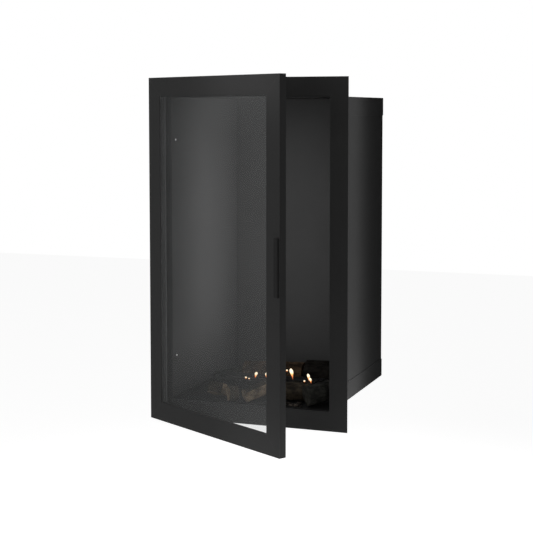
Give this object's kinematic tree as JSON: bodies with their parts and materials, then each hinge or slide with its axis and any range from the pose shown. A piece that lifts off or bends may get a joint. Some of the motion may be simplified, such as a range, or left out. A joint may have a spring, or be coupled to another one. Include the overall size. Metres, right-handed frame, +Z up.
{
  "type": "bioethanol fireplace",
  "caption": "Built-in bioethanol fireplace: black steel firebox with a wall flange, side-hinged tall glazed door with pull bar, slot burner with sliding lid, and ceramic logs.",
  "frame": {"origin": "centre of the casing's underside, which stands on the floor of the wall niche", "axes": "+X to the right as seen from the room, +Y into the wall, +Z up"},
  "size_m": [0.5991, 0.8628, 1],
  "materials": {
    "casing_coat": "satin powder coat",
    "hearth_coat": "matte heat-proof paint",
    "flange_coat": "satin powder coat",
    "hinge_coat": "satin powder coat",
    "pin_steel": "turned",
    "door_coat": "satin powder coat",
    "bead_coat": "satin powder coat",
    "handle_coat": "satin",
    "door_glass": "polished heat-proof glass",
    "gasket_tape": "woven glass tape",
    "seal_braid": "braided glass rope, flattened",
    "zinc_steel": "zinc plated",
    "black_steel": "black zinc plated screws, satin",
    "magnet_steel": "nickel plated",
    "burner_black": "matte black heat-proof coating",
    "ceramic_fibre": "fibrous, matte",
    "log_red_brown": "matte cast ceramic, reddish brown wood",
    "log_charred": "matte cast ceramic, charred bark",
    "log_grey_bark": "matte cast ceramic, grey bark",
    "log_split": "matte cast ceramic, split wood with bark",
    "ember_chip": "matte cast ceramic, bark and embers"
  },
  "bodies": {
    "casing": {"base_tray": "casing_coat", "top_tray": "casing_coat", "side_panel_left": "casing_coat", "side_panel_right": "casing_coat", "back_panel": "casing_coat", "back_panel_screws": "black_steel", "rear_heat_shield": "casing_coat", "shield_spacers": "zinc_steel", "shield_screws": "zinc_steel", "hearth_plate": "hearth_coat", "wall_flange": "flange_coat", "hinge_leaves_fixed": "hinge_coat", "hinge_rivets": "hinge_coat", "hinge_pins": "pin_steel", "burner_tank": "burner_black", "burner_top_plate": "burner_black", "fibre_pad": "ceramic_fibre", "lid_guides": "burner_black", "guide_screws": "black_steel", "log_back": "log_red_brown", "log_charred": "log_charred", "log_front_right": "log_grey_bark", "log_centre": "log_split", "log_front_left": "log_split", "log_left": "log_split", "log_stub": "log_split", "log_branch": "log_grey_bark", "ember_chips": "ember_chip"},
    "door": {"hinge_leaves_door": "hinge_coat", "hinge_screws": "black_steel", "door_stile_hinge": "door_coat", "door_stile_handle": "door_coat", "door_rail_top": "door_coat", "door_rail_bottom": "door_coat", "glazing_beads": "bead_coat", "bead_screws": "black_steel", "glass_gasket_front": "gasket_tape", "glass_gasket_rear": "gasket_tape", "door_glass": "door_glass", "door_seal": "seal_braid", "door_handle": "handle_coat", "handle_screws": "black_steel", "door_magnets": "magnet_steel", "magnet_screws": "black_steel"},
    "lid": {"burner_lid": "burner_black"}
  },
  "joints": [
    {"name": "door_hinge", "type": "hinge", "parent": "casing", "child": "door", "pos_m": [-0.29, -0.2775, 0.4455], "axis": [0, 0, -1], "range_deg": [-30, 65]},
    {"name": "burner_lid_slide", "type": "slide", "parent": "casing", "child": "lid", "axis": [0, -1, 0], "range_m": [0, 0.036]}
  ]
}
